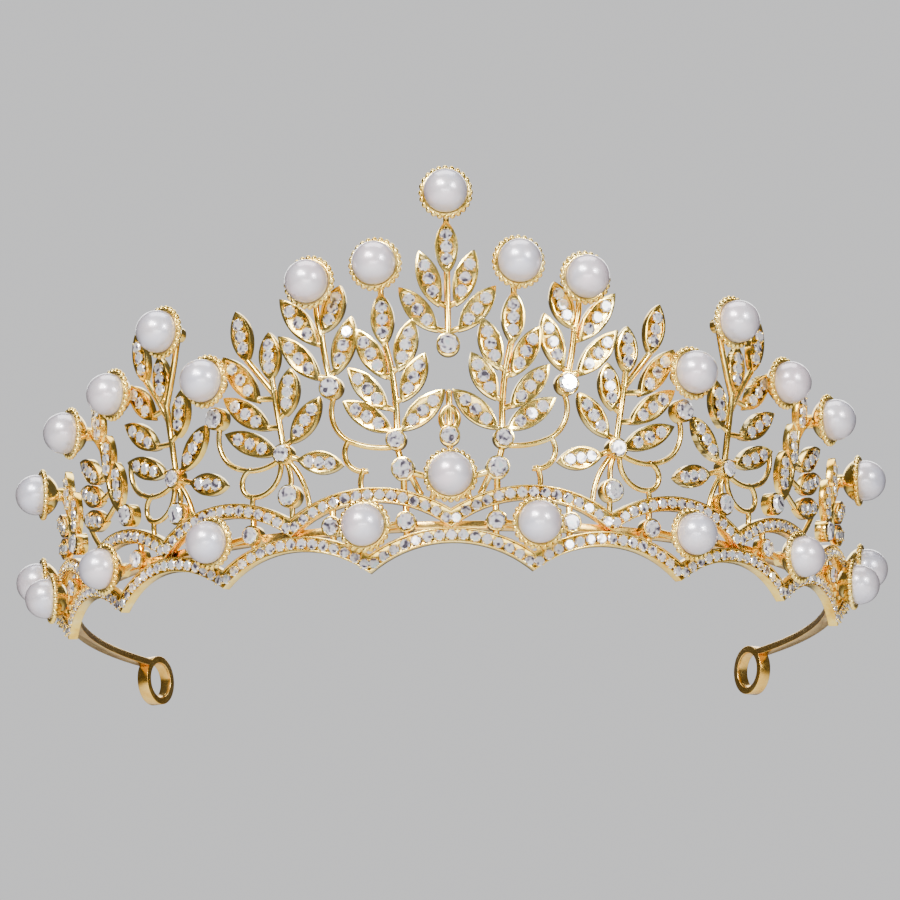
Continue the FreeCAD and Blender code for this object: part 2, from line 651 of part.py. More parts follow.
def cup_pattern(name, pearl_alias):
    """Pearl cup along Z with its flat back at Z = 0: a bowl with a thick rim and a peg."""
    inner = size[pearl_alias] / 2 + size["pearl_clearance"]
    outer = inner + size["cup_wall"]
    foot = size["cup_foot_radius"]
    centre_height = math.sqrt(outer ** 2 - foot ** 2)
    bowl = Part.makeSphere(outer, Vector(0, 0, centre_height))
    reach = Part.makeCylinder(outer + 1, size["cup_reach"])
    rim_radius = math.sqrt(outer ** 2 - (centre_height - size["cup_reach"]) ** 2)
    rim = Part.makeTorus(rim_radius - size["cup_wall"] / 2, size["cup_rim_wire"] / 2,
                         Vector(0, 0, size["cup_reach"]))
    pearl_room = Part.makeSphere(inner, Vector(0, 0, centre_height))
    peg = Part.makeCylinder(size["peg_diameter"] / 2, size["peg_reach"] + 0.4, Vector(0, 0, 0.2))
    shape = bowl.common(reach).fuse(rim).cut(pearl_room).fuse(peg).removeSplitter()
    master = doc.addObject("Part::Feature", name)
    master.Shape = shape
    return master.Shape, centre_height


def add_pearl(name, alias, placement, centre_height):
    """Pearl with the blind hole that its peg is glued into."""
    ball = doc.addObject("Part::Sphere", f"{name}_ball")
    bind(ball, {"Radius": f"Sizes.{alias} / 2"})
    hole = doc.addObject("Part::Cylinder", f"{name}_hole")
    bind(hole, {"Radius": "Sizes.peg_diameter / 2 + Sizes.peg_clearance",
                "Height": "Sizes.peg_reach + Sizes.peg_clearance + 0.6"})
    hole.Placement = Placement(Vector(0, 0, -centre_height), Rotation())
    pearl = doc.addObject("Part::Cut", name)
    pearl.Base = ball
    pearl.Tool = hole
    pearl.Label = name
    pearl.Placement = placement * Placement(Vector(0, 0, centre_height), Rotation())
    nodes[name] = pearl


crown_cup, crown_centre = cup_pattern("crown_cup_pattern", "crown_pearl_diameter")
band_cup, band_centre = cup_pattern("band_cup_pattern", "pearl_diameter")

crown_spots = {"crown_pearl_centre": (0, 66, HALF_PAD)}
CROWN_PEARLS = [(11.4, 53.7), (22.4, 51.5), (42.4, 36.7), (51.7, 47.4), (65.7, 38.9), (82.5, 35.5),
                (103.5, 28.6), (107.6, 12.4)]
for number, (along, height) in enumerate(CROWN_PEARLS, start=1):
    seat = HALF_PAD if number < len(CROWN_PEARLS) else size["border_depth"] / 2
    for side, word in ((1, "right"), (-1, "left")):
        crown_spots[f"crown_pearl_{word}_{number}"] = (side * along, height, seat)
band_spots = {}
for index, eye in enumerate(EYE_CENTRES):
    word = "left" if eye < 0 else "right"
    number = 4 - index if eye < 0 else index - 3
    band_spots[f"band_pearl_{word}_{number}"] = (eye, EYE_PEARL_HEIGHT, HALF_PAD)
crown_spots["centre_pearl"] = (0, CENTRE_PEARL_HEIGHT, HALF_PAD)

for group, spots, cup, centre_height, alias in (
        ("crown_pearl_cups", crown_spots, crown_cup, crown_centre, "crown_pearl_diameter"),
        ("band_pearl_cups", band_spots, band_cup, band_centre, "pearl_diameter")):
    cups = []
    for name, (along, height, seat) in spots.items():
        placement = band_placement(along, height, seat)
        cups.append(placed(cup, placement))
        add_pearl(name, alias, placement, centre_height)
    add_shape(group, Part.makeCompound(cups))

# ---------------------------------------------------------------------------------------------
# Stones
# ---------------------------------------------------------------------------------------------


def stone_group(name, spots):
    """Sub-part made of many separate stones, each (placement, size name)."""
    add_shape(name, Part.makeCompound([placed(stone_shapes[alias], spot) for spot, alias in spots]))


stone_group("lower_border_stones", [(spot, "border_stone_diameter") for span in lower_spans
                                    for spot in border_stones(*span, 0.0)])
stone_group("upper_border_stones", [(spot, "border_stone_diameter") for span in upper_spans
                                    for spot in border_stones(*span, UPPER_LIFT)])
stone_group("centre_leaf_stones", centre_spray.leaf_stones)
stone_group("right_leaf_stones", right_leaf_stones)
add_shape("left_leaf_stones", left_copy(nodes["right_leaf_stones"].Shape))
stone_group("right_single_stones", right_single_stones)
add_shape("left_single_stones", left_copy(nodes["right_single_stones"].Shape))
stone_group("centre_single_stones", centre_spray.accent_stones + centre.accent_stones)

# ---------------------------------------------------------------------------------------------
# Hoop and ribbon loops
# ---------------------------------------------------------------------------------------------

# The hoop's outer face touches the back of the leaning band at the height of the hoop.
GAP_ROW = len(DRIVING_SIZES) + 2
sheet.set(f"A{GAP_ROW}", "hoop_gap")
sheet.set(f"B{GAP_ROW}", "=border_depth / 2 / cos(flare_angle * 1deg) - hoop_height * tan(flare_angle * 1deg)")
sheet.setAlias(f"B{GAP_ROW}", "hoop_gap")
doc.recompute()
hoop_gap = float(sheet.get("hoop_gap"))


def plan_blank(name, inset):
    """Solid ellipse in plan, the plan curve moved inward by an amount on the sheet."""
    outline = doc.addObject("Part::Ellipse", f"{name}_outline")
    half_sizes = "(Sizes.plan_half_depth; Sizes.plan_half_width)"
    bind(outline, {"MajorRadius": f"max{half_sizes} - {inset}",
                   "MinorRadius": f"min{half_sizes} - {inset}"})
    outline.Placement = Placement(Vector(), Rotation(Vector(0, 0, 1), 90 if DEEPER else 0))
    blank = doc.addObject("Part::Extrusion", name)
    blank.Base = outline
    blank.DirMode = "Custom"
    blank.Dir = Vector(0, 0, 1)
    blank.Solid = True
    bind(blank, {"LengthFwd": "Sizes.hoop_thickness"})
    return blank


def loop_cylinder(name, side, radius_expression, spare=0.0):
    """Cylinder across the hoop at one ribbon loop, longer at both ends by a spare length."""
    cylinder = doc.addObject("Part::Cylinder", name)
    bind(cylinder, {"Radius": radius_expression, "Height": f"Sizes.hoop_width + {2 * spare}"})
    cylinder.Placement = band_placement(side * size["hoop_length_side"], size["loop_diameter"] / 2,
                                        -hoop_gap - size["hoop_width"] - spare, flare=0.0)
    return cylinder


outer_blank = plan_blank("hoop_outer", "Sizes.hoop_gap")
inner_blank = plan_blank("hoop_inner", "(Sizes.hoop_gap + Sizes.hoop_width)")
ring = doc.addObject("Part::Cut", "hoop_ring")
ring.Base = outer_blank
ring.Tool = inner_blank
ring.Placement = Placement(Vector(0, 0, size["hoop_height"] - size["hoop_thickness"] / 2), Rotation())

back = doc.addObject("Part::Box", "hoop_opening")
bind(back, {"Length": "2 * Sizes.plan_half_width", "Width": "Sizes.plan_half_depth",
            "Height": "3 * Sizes.hoop_height"})
loop_middle = band_placement(size["hoop_length_side"], 0, flare=0.0).Base
back.Placement = Placement(Vector(-size["plan_half_width"], loop_middle.y, 0), Rotation())
ends = doc.addObject("Part::MultiFuse", "hoop_ends")
ends.Shapes = [back] + [loop_cylinder(f"{word}_loop_room", side, "Sizes.loop_diameter / 2", 1.0)
                        for side, word in ((1, "right"), (-1, "left"))]
hoop = doc.addObject("Part::Cut", "whole_hoop")
hoop.Base = ring
hoop.Tool = ends


def hoop_length(name, left, right, front, rear):
    """Length of the hoop between two planes across X and two across Y, where it is brazed."""
    room = doc.addObject("Part::Box", f"{name}_room")
    bind(room, {"Height": "3 * Sizes.hoop_height"})
    room.Length = right - left
    room.Width = rear - front
    room.Placement = Placement(Vector(left, front, 0), Rotation())
    length = doc.addObject("Part::Common", name)
    length.Base = hoop
    length.Tool = room
    return length


# Behind the band the hoop is four lengths; an arm goes on from each end of the band.
BEYOND = 2 * size["plan_half_depth"]
band_end = band_placement(BAND_HALF_LENGTH, 0, flare=0.0).Base
halfway = band_placement(BAND_HALF_LENGTH / 2, 0, flare=0.0).Base
hoop_front = doc.addObject("Part::Compound", "hoop_front")
hoop_front.Links = [
    hoop_length("hoop_front_right", 0, halfway.x, -BEYOND, band_end.y),
    hoop_length("hoop_side_right", halfway.x, BEYOND, -BEYOND, band_end.y),
    hoop_length("hoop_front_left", -halfway.x, 0, -BEYOND, band_end.y),
    hoop_length("hoop_side_left", -BEYOND, -halfway.x, -BEYOND, band_end.y)]
nodes["hoop_front"] = hoop_front
nodes["right_hoop_arm"] = hoop_length("right_hoop_arm", 0, BEYOND, band_end.y, BEYOND)
nodes["left_hoop_arm"] = hoop_length("left_hoop_arm", -BEYOND, 0, band_end.y, BEYOND)
for side, word in ((1, "right"), (-1, "left")):
    loop = doc.addObject("Part::Cut", f"{word}_ribbon_loop")
    loop.Base = loop_cylinder(f"{word}_loop_outside", side, "Sizes.loop_diameter / 2")
    loop.Tool = loop_cylinder(f"{word}_loop_inside", side,
                              "Sizes.loop_diameter / 2 - Sizes.loop_wall")
    nodes[f"{word}_ribbon_loop"] = loop
doc.recompute()

# ---------------------------------------------------------------------------------------------
# Origin, checks and files
# ---------------------------------------------------------------------------------------------

box = FreeCAD.BoundBox()
for node in nodes.values():
    box.add(node.Shape.optimalBoundingBox(False))
to_origin = Placement(Vector(0, -box.Center.y, -box.ZMin), Rotation())
for node in nodes.values():
    node.Placement = to_origin * node.Placement
doc.recompute()

for item in doc.Objects:
    if "Invalid" in item.State or "Error" in item.State:
        raise RuntimeError(f"{item.Name} did not build: {item.State}")
for name, node in nodes.items():
    if node.Shape.isNull() or not node.Shape.isValid():
        raise RuntimeError(f"{name} has no valid shape")
    node.Shape.exportStep(f"parts/{name}.step")
print(len(nodes), "sub-parts, overall", round(box.XLength, 2), "x", round(box.YLength, 2), "x",
      round(box.ZLength, 2), "mm, loop middle at", loop_middle + to_origin.Base)
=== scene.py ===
"""Bridal tiara: finishes, cut stones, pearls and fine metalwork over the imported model."""

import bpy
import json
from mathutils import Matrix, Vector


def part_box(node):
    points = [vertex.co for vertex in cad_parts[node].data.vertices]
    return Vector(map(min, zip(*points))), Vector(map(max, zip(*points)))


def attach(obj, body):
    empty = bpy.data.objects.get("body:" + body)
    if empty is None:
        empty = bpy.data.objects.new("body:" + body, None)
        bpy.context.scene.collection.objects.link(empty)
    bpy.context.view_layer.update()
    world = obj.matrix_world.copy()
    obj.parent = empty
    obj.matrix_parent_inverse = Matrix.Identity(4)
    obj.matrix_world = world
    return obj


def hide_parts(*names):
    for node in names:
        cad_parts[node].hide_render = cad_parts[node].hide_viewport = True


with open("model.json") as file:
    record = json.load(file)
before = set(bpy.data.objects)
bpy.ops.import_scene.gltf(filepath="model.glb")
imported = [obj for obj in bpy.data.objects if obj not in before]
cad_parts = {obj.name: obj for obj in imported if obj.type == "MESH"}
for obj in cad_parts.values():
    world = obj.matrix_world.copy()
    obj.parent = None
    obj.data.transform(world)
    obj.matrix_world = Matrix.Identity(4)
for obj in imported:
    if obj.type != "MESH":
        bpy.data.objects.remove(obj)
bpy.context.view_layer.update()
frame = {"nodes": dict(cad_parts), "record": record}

import json
import logging
import math
from dataclasses import dataclass, field
from enum import Enum
from typing import Any, Iterable

import bmesh
import bpy
import numpy as np
from mathutils import Matrix, Vector

logging.basicConfig(level=logging.INFO, format="%(name)s: %(message)s")
log = logging.getLogger("tiara")

MERGE_DISTANCE = 0.000004
FLAT_ANGLE = math.radians(1.0)
EDGE_ANGLE = math.radians(40)
HEAD_SHARE = 0.35


# ------------------------------------------------------------------------------------------
# Materials
# ------------------------------------------------------------------------------------------


class Channel:
    """A number socket whose sums and products add Math nodes.

    Args:
        recipe: the recipe whose node tree the socket is in.
        socket: the output socket.
    """

    def __init__(self, recipe: "Recipe", socket: Any) -> None:
        """Keeps the recipe and the socket."""
        self.recipe = recipe
        self.socket = socket

    def _math(self, operation: str, first: Any, second: Any, clamp: bool = False) -> "Channel":
        """Adds one Math node.

        Returns:
            Channel: the node's result.
        """
        return self.recipe.add("ShaderNodeMath", {"operation": operation, "use_clamp": clamp},
                               {0: first, 1: second})

    def __add__(self, other: Any) -> "Channel":
        """Sum."""
        return self._math("ADD", self, other)

    __radd__ = __add__

    def __mul__(self, other: Any) -> "Channel":
        """Product."""
        return self._math("MULTIPLY", self, other)

    __rmul__ = __mul__

    def __sub__(self, other: Any) -> "Channel":
        """Difference."""
        return self._math("SUBTRACT", self, other)

    def __rsub__(self, other: Any) -> "Channel":
        """Difference from a number."""
        return self._math("SUBTRACT", other, self)

    def __pow__(self, other: Any) -> "Channel":
        """Power."""
        return self._math("POWER", self, other)

    def clamped(self) -> "Channel":
        """The value held between 0 and 1."""
        return self._math("ADD", self, 0.0, clamp=True)


class Recipe:
    """A material under construction.

    Args:
        name: the material's name.
    """

    def __init__(self, name: str) -> None:
        """Makes an empty material with a shader and an output."""
        self.material = bpy.data.materials.new(name)
        self.material.use_nodes = True
        self.tree = self.material.node_tree
        self.tree.nodes.clear()
        self.output = self.tree.nodes.new("ShaderNodeOutputMaterial")
        self.shader = self.tree.nodes.new("ShaderNodeBsdfPrincipled")
        self.tree.links.new(self.shader.outputs["BSDF"], self.output.inputs["Surface"])

    def add(self, kind: str, settings: dict[str, Any], sockets: dict[Any, Any],
            output: Any = 0) -> Channel:
        """Adds a node.

        Args:
            kind: the node's type.
            settings: its properties, set first. "stops" is a ramp's list of (place, colour).
            sockets: values or links of its inputs, by name or number.
            output: the output to return.

        Returns:
            Channel: the chosen output.
        """
        node = self.tree.nodes.new(kind)
        for key, value in settings.items():
            if key == "stops":
                ramp = node.color_ramp
                while len(ramp.elements) < len(value):
                    ramp.elements.new(0.5)
                for element, (place, colour) in zip(ramp.elements, value):
                    element.position = place
                    element.color = (*colour, 1.0)
            else:
                setattr(node, key, value)
        for key, value in sockets.items():
            if isinstance(value, Channel):
                self.tree.links.new(value.socket, node.inputs[key])
            else:
                node.inputs[key].default_value = value
        return Channel(self, node.outputs[output])

    def position(self) -> Channel:
        """Object coordinates."""
        return self.add("ShaderNodeTexCoord", {}, {}, "Object")

    def noise(self, scale: float, detail: float = 3.0, roughness: float = 0.5) -> Channel:
        """Noise over the piece.

        Args:
            scale: waves in a metre.
            detail: finer layers.
            roughness: strength of the finer layers.

        Returns:
            Channel: the noise, about 0 to 1.
        """
        return self.add("ShaderNodeTexNoise", {}, {"Vector": self.position(), "Scale": scale,
                                                   "Detail": detail, "Roughness": roughness})

    def facet_noise(self, scale: float, turn: float) -> Channel:
        """Noise that stays even over a flat facet and jumps from one facet to the next.

        Args:
            scale: change over a metre of the piece.
            turn: change over a whole turn of the surface's direction.

        Returns:
            Channel: the noise, about 0 to 1.
        """
        place = self.add("ShaderNodeVectorMath", {"operation": "SCALE"},
                         {0: self.position(), "Scale": scale})
        direction = self.add("ShaderNodeTexCoord", {}, {}, "Normal")
        turned = self.add("ShaderNodeVectorMath", {"operation": "SCALE"},
                          {0: direction, "Scale": turn})
        both = self.add("ShaderNodeVectorMath", {"operation": "ADD"}, {0: place, 1: turned})
        return self.add("ShaderNodeTexNoise", {}, {"Vector": both, "Scale": 1.0, "Detail": 1.0})

    def spread(self, value: Channel, low: float, high: float) -> Channel:
        """Stretches the part of a value between two levels to 0 to 1."""
        return self.add("ShaderNodeMapRange", {"clamp": True},
                        {"Value": value, "From Min": low, "From Max": high})

    def ramp(self, value: Channel, stops: list[tuple[float, tuple[float, float, float]]]) -> Channel:
        """Colour ramp over a value."""
        return self.add("ShaderNodeValToRGB", {"stops": stops}, {"Fac": value})

    def bump(self, height: Channel, distance: float, strength: float = 1.0) -> Channel:
        """Normal bent by a height.

        Args:
            height: the height, 0 to 1.
            distance: depth in metres.
            strength: share of the effect.

        Returns:
            Channel: the normal.
        """
        return self.add("ShaderNodeBump", {}, {"Height": height, "Distance": distance,
                                               "Strength": strength})

    def set(self, **values: Any) -> None:
        """Sets or links the shader's sockets; an underscore in a name stands for a space."""
        for key, value in values.items():
            socket = self.shader.inputs[key.replace("_", " ")]
            if isinstance(value, Channel):
                self.tree.links.new(value.socket, socket)
            else:
                socket.default_value = value


class Tone(Enum):
    """Shade of the gold plating."""

    CHAMPAGNE = "champagne"
    WARM = "warm"


@dataclass(frozen=True)
class GoldPlating:
    """Bright gold plating with the soft unevenness of a casting.

    Attributes:
        tone: its shade.
        roughness: its average roughness.
        ripple: depth of the casting's waviness, in metres.
    """

    tone: Tone
    roughness: float = 0.2
    ripple: float = 0.00003

    def build(self) -> bpy.types.Material:
        """Builds the material.

        Returns:
            bpy.types.Material: the gold.
        """
        recipe = Recipe(f"gold_{self.tone.value}")
        shades = {Tone.CHAMPAGNE: ((0.80, 0.46, 0.05), (0.98, 0.69, 0.15), (1.0, 0.80, 0.30)),
                  Tone.WARM: ((0.66, 0.35, 0.05), (0.84, 0.52, 0.12), (0.92, 0.64, 0.20))}
        dark, middle, light = shades[self.tone]
        cloud = recipe.noise(260.0, 4.0, 0.6)
        grain = recipe.noise(2400.0, 2.0)
        recipe.set(Base_Color=recipe.ramp(cloud, [(0.3, dark), (0.5, middle), (0.7, light)]),
                   Metallic=1.0,
                   Roughness=(self.roughness - 0.08 + 0.16 * grain).clamped(),
                   Normal=recipe.bump(cloud * 0.7 + grain * 0.3, self.ripple))
        return recipe.material


@dataclass(frozen=True)
class PearlLustre:
    """White pearl with a faint lavender and rose lustre, and painted shade that darkens it where the
    surface turns away.

    Attributes:
        body: the pearl's main colour.
        edge: colour of the painted shade, mixed in where the surface turns away.
    """

    body: tuple[float, float, float] = (0.70, 0.66, 0.70)
    edge: tuple[float, float, float] = (0.22, 0.18, 0.22)

    def build(self) -> bpy.types.Material:
        """Builds the material.

        Returns:
            bpy.types.Material: the pearl.
        """
        recipe = Recipe("pearl_lustre")
        # Painted shade: the pearl's colour is darkened towards its rim, where the surface turns
        # away.
        painted_rim_shade_mask = recipe.add("ShaderNodeLayerWeight", {}, {"Blend": 0.35}, "Facing")
        cloud = recipe.noise(110.0, 3.0, 0.55)
        tint = recipe.ramp(cloud, [(0.35, (0.76, 0.65, 0.70)), (0.5, self.body),
                                   (0.65, (0.66, 0.67, 0.78))])
        tint_with_painted_rim_shade = recipe.add("ShaderNodeMix", {"data_type": "RGBA"},
                          {"Factor": painted_rim_shade_mask ** 1.2, 6: tint, 7: (*self.edge, 1.0)}, 2)
        recipe.set(Base_Color=tint_with_painted_rim_shade, Metallic=0.3, Roughness=(0.24 + 0.1 * cloud).clamped(),
                   Normal=recipe.bump(recipe.noise(900.0, 2.0), 0.000008))
        recipe.set(Coat_Weight=0.8, Coat_Roughness=0.06, Subsurface_Weight=0.05,
                   Subsurface_Scale=0.002, Specular_IOR_Level=0.7)
        recipe.shader.inputs["Subsurface Radius"].default_value = (1.0, 0.7, 0.6)
        return recipe.material


@dataclass(frozen=True)
class CutCrystal:
    """Clear cut stone with a silvered back: every flat facet gets its own painted reflection colour,
    in place of the part of the room it would mirror.

    Attributes:
        mirror: share of the light that the silvering sends back.
    """

    mirror: float = 0.5

    def build(self) -> bpy.types.Material:
        """Builds the material.

        Returns:
            bpy.types.Material: the stone.
        """
        recipe = Recipe("cut_crystal")
        facet = recipe.facet_noise(900.0, 5.0)
        shade = recipe.spread(facet, 0.3, 0.7)
        # Painted reflections: each facet gets a colour from dark violet-grey through white to pink
        # and blue-green, standing in for the part of the room it would mirror.
        tint = recipe.ramp(shade, [(0.10, (0.10, 0.09, 0.12)), (0.26, (0.42, 0.38, 0.46)),
                                   (0.42, (0.88, 0.88, 0.90)), (0.60, (1.0, 0.99, 0.98)),
                                   (0.74, (0.93, 0.80, 0.88)), (0.90, (0.70, 0.86, 0.88))])
        recipe.set(Base_Color=tint, Metallic=self.mirror, Roughness=0.05 + 0.08 * shade)
        recipe.set(Coat_Weight=1.0, Coat_Roughness=0.02, Coat_IOR=1.9)
        return recipe.material


@dataclass(frozen=True)
class StudioPaint:
    """Matt pale surface of the studio.

    Attributes:
        colour: its colour.
    """

    colour: tuple[float, float, float] = (0.80, 0.79, 0.78)

    def build(self) -> bpy.types.Material:
        """Builds the material.

        Returns:
            bpy.types.Material: the paint.
        """
        recipe = Recipe("studio_paint")
        recipe.set(Base_Color=(*self.colour, 1.0), Roughness=0.7)
        return recipe.material


# ------------------------------------------------------------------------------------------
# Helpers for pieces
# ------------------------------------------------------------------------------------------


@dataclass(frozen=True)
class Seat:
    """Place of one small turned solid, read from the model.

    Attributes:
        centre: middle of its vertices.
        axis: its outward axis.
        radius: its largest radius.
        low: its lowest point along the axis, from the centre.
        high: its highest point along the axis, from the centre.
    """

    centre: Vector
    axis: Vector
    radius: float
    low: float
    high: float

    def matrix(self, scale: float = 1.0, lift: float = 0.0, spin: float = 0.0) -> Matrix:
        """Matrix from a shape about Z to this place.

        Args:
            scale: size of the shape.
            lift: distance along the axis from the lowest point.
            spin: turn about the axis, in radians.

        Returns:
            Matrix: the placement.
        """
        turn = self.axis.to_track_quat("Z", "Y").to_matrix().to_4x4()
        place = Matrix.Translation(self.centre + self.axis * (self.low + lift))
        return place @ turn @ Matrix.Rotation(spin, 4, "Z") @ Matrix.Scale(scale, 4)


def merged_copy(node: str) -> bmesh.types.BMesh:
    """Mesh of a node of the model with its loose triangles joined."""
    mesh = bmesh.new()
    mesh.from_mesh(frame["nodes"][node].data)
    bmesh.ops.remove_doubles(mesh, verts=mesh.verts, dist=MERGE_DISTANCE)
    return mesh


def loose_parts(mesh: bmesh.types.BMesh) -> list[np.ndarray]:
    """Vertex places of each connected part of a mesh."""
    seen: set[int] = set()
    parts = []
    mesh.verts.ensure_lookup_table()
    for start in mesh.verts:
        if start.index in seen:
            continue
        stack, members = [start], []
        seen.add(start.index)
        while stack:
            vertex = stack.pop()
            members.append(vertex.co[:])
            for edge in vertex.link_edges:
                other = edge.other_vert(vertex)
                if other.index not in seen:
                    seen.add(other.index)
                    stack.append(other)
        parts.append(np.array(members))
    return parts


def read_seats(node: str) -> list[Seat]:
    """Reads where each turned solid of a node stands.

    Args:
        node: the node's name.

    Returns:
        list[Seat]: one for each solid.
    """
    mesh = merged_copy(node)
    head = Vector((0.0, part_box("left_ribbon_loop")[1].y * HEAD_SHARE, 0.0))
    seats = []
    for points in loose_parts(mesh):
        spread = np.cov((points - points.mean(axis=0)).T)
        values, vectors = np.linalg.eigh(spread)
        lone = 0 if values[1] - values[0] > values[2] - values[1] else 2
        axis = Vector(vectors[:, lone])
        centre = Vector(points.mean(axis=0))
        outward = Vector((centre.x, centre.y - head.y, 0.0))
        if axis.dot(outward) < 0:
            axis.negate()
        offsets = [Vector(point) - centre for point in points]
        along = [offset.dot(axis) for offset in offsets]
        across = [(offset - axis * step).length for offset, step in zip(offsets, along)]
        seats.append(Seat(centre, axis, max(across), min(along), max(along)))
    mesh.free()
    return seats


def edit_mode(active: bpy.types.Object) -> None:
    """Opens an object alone in edit mode."""
    bpy.ops.object.select_all(action="DESELECT")
    active.select_set(True)
    bpy.context.view_layer.objects.active = active
    bpy.ops.object.mode_set(mode="EDIT")


def object_mode() -> None:
    """Leaves edit mode."""
    bpy.ops.object.mode_set(mode="OBJECT")


def select_faces(mesh_object: bpy.types.Object, normal: Vector, nearness: float = 0.9) -> None:
    """Selects, in edit mode, only the faces that look along a direction."""
    bpy.ops.mesh.select_all(action="DESELECT")
    mesh = bmesh.from_edit_mesh(mesh_object.data)
    for face in mesh.faces:
        face.select_set(face.normal.dot(normal) > nearness)
    bmesh.update_edit_mesh(mesh_object.data)


def copies(master: bpy.types.Object, places: Iterable[Matrix], name: str) -> bpy.types.Object:
    """Copies a small piece to many places and joins the copies.

    Args:
        master: the piece, about the origin.
        places: a matrix for each copy.
        name: name of the joined piece.

    Returns:
        bpy.types.Object: the joined piece.
    """
    bpy.ops.object.select_all(action="DESELECT")
    made = []
    for place in places:
        mesh = master.data.copy()
        mesh.transform(place)
        copy = bpy.data.objects.new(name, mesh)
        bpy.context.scene.collection.objects.link(copy)
        copy.select_set(True)
        made.append(copy)
    bpy.context.view_layer.objects.active = made[0]
    bpy.ops.object.join()
    joined = made[0]
    joined.name = name
    return joined


def remove(piece: bpy.types.Object) -> None:
    """Removes a pattern that has been copied."""
    bpy.data.objects.remove(piece)


def dress(piece: bpy.types.Object, material: bpy.types.Material) -> None:
    """Gives a new piece its material and slot, and fixes it to the body."""
    piece.data.materials.clear()
    piece.data.materials.append(material)
    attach(piece, "root")


@dataclass
class Workshop:
    """The finishes, built once."""

    champagne: bpy.types.Material = field(init=False)
    warm: bpy.types.Material = field(init=False)
    pearl: bpy.types.Material = field(init=False)
    crystal: bpy.types.Material = field(init=False)

    def __post_init__(self) -> None:
        """Builds every finish."""
        self.champagne = GoldPlating(Tone.CHAMPAGNE).build()
        self.warm = GoldPlating(Tone.WARM, roughness=0.24).build()
        self.pearl = PearlLustre().build()
        self.crystal = CutCrystal().build()


# ------------------------------------------------------------------------------------------
# Sub-assemblies
# ------------------------------------------------------------------------------------------


@dataclass
class Metalwork:
    """The cast band and the hoop: each node's shape with its edges softened.

    Attributes:
        shop: the finishes.
        edge_softening: width of the bevel on its edges, in metres.
    """

    shop: Workshop
    edge_softening: float = 0.0001

    def soften(self, node: str, material: bpy.types.Material) -> None:
        """Makes the polished copy of one node.

        Args:
            node: the node's name.
            material: its finish.
        """
        mesh = merged_copy(node)
        bmesh.ops.dissolve_limit(mesh, angle_limit=FLAT_ANGLE, verts=mesh.verts,
                                 edges=mesh.edges)
        data = bpy.data.meshes.new(f"polished_{node}")
        mesh.to_mesh(data)
        mesh.free()
        piece = bpy.data.objects.new(f"polished_{node}", data)
        bpy.context.scene.collection.objects.link(piece)
        bpy.ops.object.select_all(action="DESELECT")
        piece.select_set(True)
        bpy.context.view_layer.objects.active = piece
        bevel = piece.modifiers.new("soft_edges", "BEVEL")
        bevel.width = self.edge_softening
        bevel.segments = 2
        bevel.limit_method = "ANGLE"
        bevel.angle_limit = EDGE_ANGLE
        bpy.ops.object.modifier_apply(modifier=bevel.name)
        bpy.ops.object.shade_smooth_by_angle(angle=EDGE_ANGLE)
        dress(piece, material)
        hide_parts(node)
        log.info("polished %s", node)

    def build(self) -> None:
        """Polishes every gold node."""
        for entry in frame["record"]["subparts"]:
            if entry["material_slot"] == "gold_casting":
                self.soften(entry["node"], self.shop.champagne)
            elif entry["material_slot"] == "gold_wire":
                self.soften(entry["node"], self.shop.warm)


